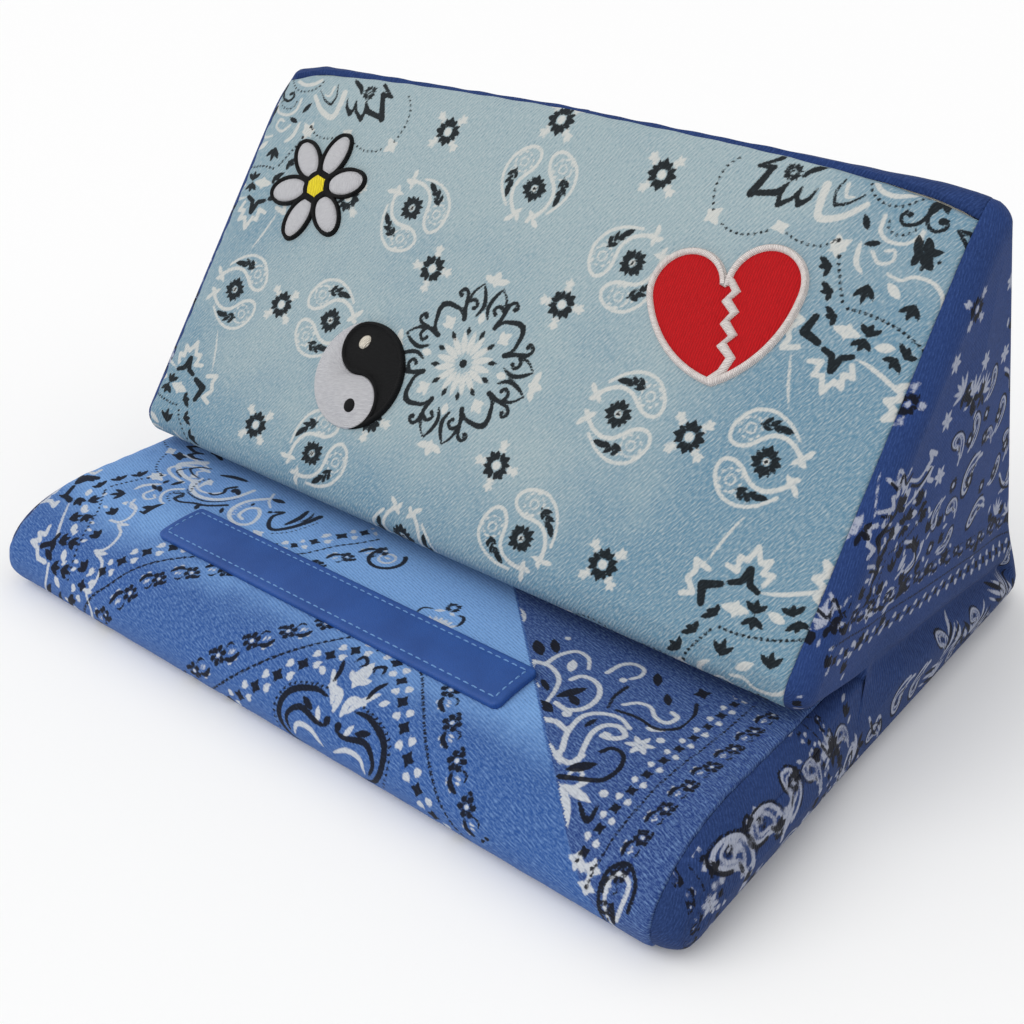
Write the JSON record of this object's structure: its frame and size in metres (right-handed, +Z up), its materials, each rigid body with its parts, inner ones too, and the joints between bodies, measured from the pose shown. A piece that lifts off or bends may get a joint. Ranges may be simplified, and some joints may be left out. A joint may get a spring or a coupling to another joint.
{
  "type": "tablet cushion stand",
  "caption": "Sewn foam wedge that props a tablet on a sloping face above a padded ledge with a stitched grip strip and embroidered patches.",
  "frame": {"origin": "middle of the underside's outline, on the surface the stand rests on", "axes": "+X along the stand to its right end, -Y out of the front, +Z up"},
  "size_m": [0.3, 0.238, 0.1715],
  "materials": {
    "foam": "matte open-cell foam",
    "cover_dark": "matte printed plush, dark denim look",
    "cover_mid": "matte printed plush, mid denim look",
    "cover_light": "matte printed plush, light denim look",
    "leatherette": "satin",
    "red_twill": "fine twill",
    "white_thread": "satin stitch",
    "grey_satin": "padded satin",
    "black_thread": "satin stitch",
    "yellow_thread": "satin stitch"
  },
  "bodies": {
    "root": {"base_foam": "foam", "backrest_foam": "foam", "base_panel": "cover_dark", "back_panel": "cover_dark", "end_panel_left": "cover_dark", "end_panel_right": "cover_dark", "ledge_panel": "cover_mid", "front_panel": "cover_light", "grip_strip": "leatherette", "heart_patch_field": "red_twill", "heart_patch_border": "white_thread", "yin_yang_patch_light": "grey_satin", "yin_yang_eye_light": "white_thread", "yin_yang_patch_dark": "black_thread", "yin_yang_eye_dark": "black_thread", "daisy_patch_backing": "black_thread", "daisy_centre": "yellow_thread", "daisy_petal_1": "grey_satin", "daisy_petal_2": "grey_satin", "daisy_petal_3": "grey_satin", "daisy_petal_4": "grey_satin", "daisy_petal_5": "grey_satin", "daisy_petal_6": "grey_satin"}
  },
  "joints": []
}
